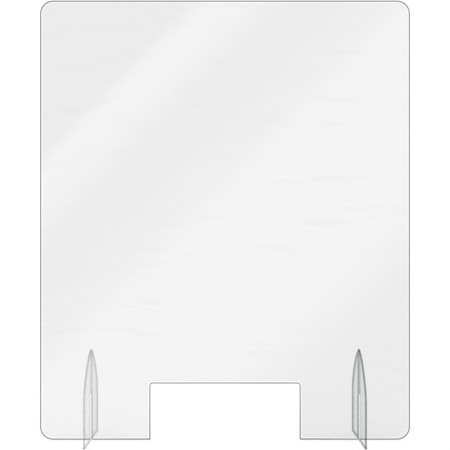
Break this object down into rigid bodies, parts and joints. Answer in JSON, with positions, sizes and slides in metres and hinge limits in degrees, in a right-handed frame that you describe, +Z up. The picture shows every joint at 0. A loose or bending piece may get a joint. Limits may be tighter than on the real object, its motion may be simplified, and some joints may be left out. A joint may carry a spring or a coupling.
{
  "type": "desk privacy panel",
  "caption": "Free-standing clear acrylic desk screen with rounded corners and a pass-through at its bottom edge, slotted into blade feet that lift off.",
  "frame": {"origin": "on the desk, under the middle of the sheet: the centre of the footprint at the height of the feet's undersides and the sheet's bottom edge", "axes": "+X along the sheet's width, towards foot_right; +Y through the sheet, from its front to its back; +Z up, along the sheet's height"},
  "size_m": [0.8, 0.2, 0.95],
  "materials": {
    "sheet_acrylic": "clear cast acrylic, polished faces and flame-polished edges",
    "foot_acrylic": "clear cast acrylic, polished faces and flame-polished edges"
  },
  "bodies": {
    "foot_left": {"foot_left": "foot_acrylic"},
    "panel": {"panel": "sheet_acrylic"},
    "foot_right": {"foot_right": "foot_acrylic"}
  },
  "joints": [
    {"name": "panel_lift", "type": "slide", "parent": "foot_left", "child": "panel", "axis": [0, 0, 1], "range_m": [0, 0.2]},
    {"name": "foot_right_slip", "type": "slide", "parent": "panel", "child": "foot_right", "axis": [0, 0, -1], "range_m": [0, 0.2]}
  ],
  "couplings": [
    {"joint": "foot_right_slip", "follows": "panel_lift", "ratio": 1}
  ]
}
